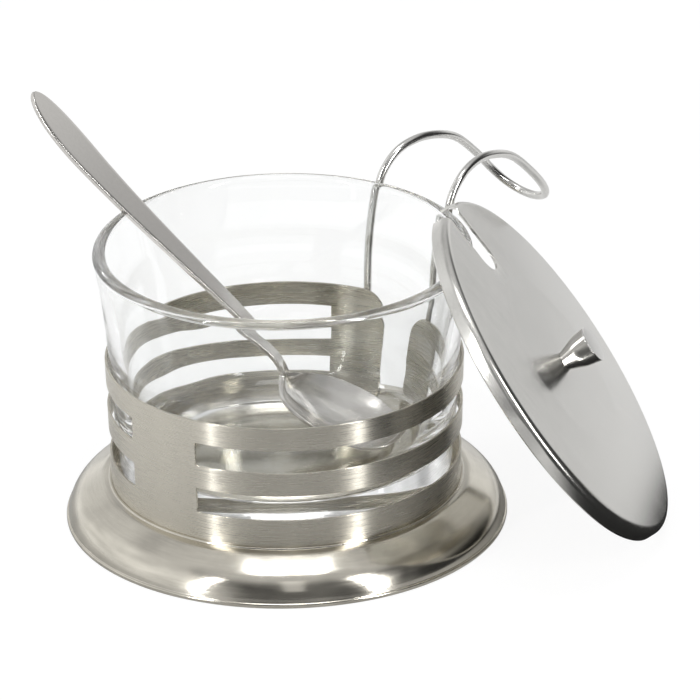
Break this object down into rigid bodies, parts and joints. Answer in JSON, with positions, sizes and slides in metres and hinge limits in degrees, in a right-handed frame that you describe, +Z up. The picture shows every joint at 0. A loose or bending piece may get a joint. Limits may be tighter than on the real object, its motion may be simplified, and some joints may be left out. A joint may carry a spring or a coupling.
{
  "type": "sugar bowl",
  "caption": "Glass sugar bowl in a slotted steel holder with a wire handle, a leaning steel lid with a knob and spoon notch, and a teaspoon standing in the bowl.",
  "frame": {"origin": "on the bowl's axis, at the centre of the flat underside of the holder's floor, 10.4 mm above the table", "axes": "+Z up along the bowl's axis, +Y towards the wire handle, +X completes a right-handed frame"},
  "size_m": [0.1644, 0.154, 0.1049],
  "materials": {
    "satin_steel": "satin, spun around the axis",
    "brushed_steel": "brushed around the band",
    "lid_steel": "fine brushed, almost mirror at a low angle",
    "polished_steel": "polished",
    "spoon_steel": "satin with polished edges",
    "clear_glass": "clear, fire-polished rim"
  },
  "bodies": {
    "holder": {"holder_base": "satin_steel", "slotted_band": "brushed_steel", "wire_handle": "polished_steel"},
    "glass": {"glass_bowl": "clear_glass"},
    "lid": {"lid_disc": "lid_steel", "lid_knob": "polished_steel", "knob_screw": "polished_steel"},
    "spoon": {"teaspoon": "spoon_steel"}
  },
  "joints": [
    {"name": "glass_lift", "type": "slide", "parent": "holder", "child": "glass", "axis": [0, 0, 1], "range_m": [0, 0.08]},
    {"name": "lid_lift", "type": "slide", "parent": "glass", "child": "lid", "axis": [0.6371, 0.5068, 0.5807], "range_m": [0, 0.08]},
    {"name": "spoon_lift", "type": "slide", "parent": "glass", "child": "spoon", "axis": [-0.35, -0.1336, 0.9272], "range_m": [0, 0.115]}
  ]
}
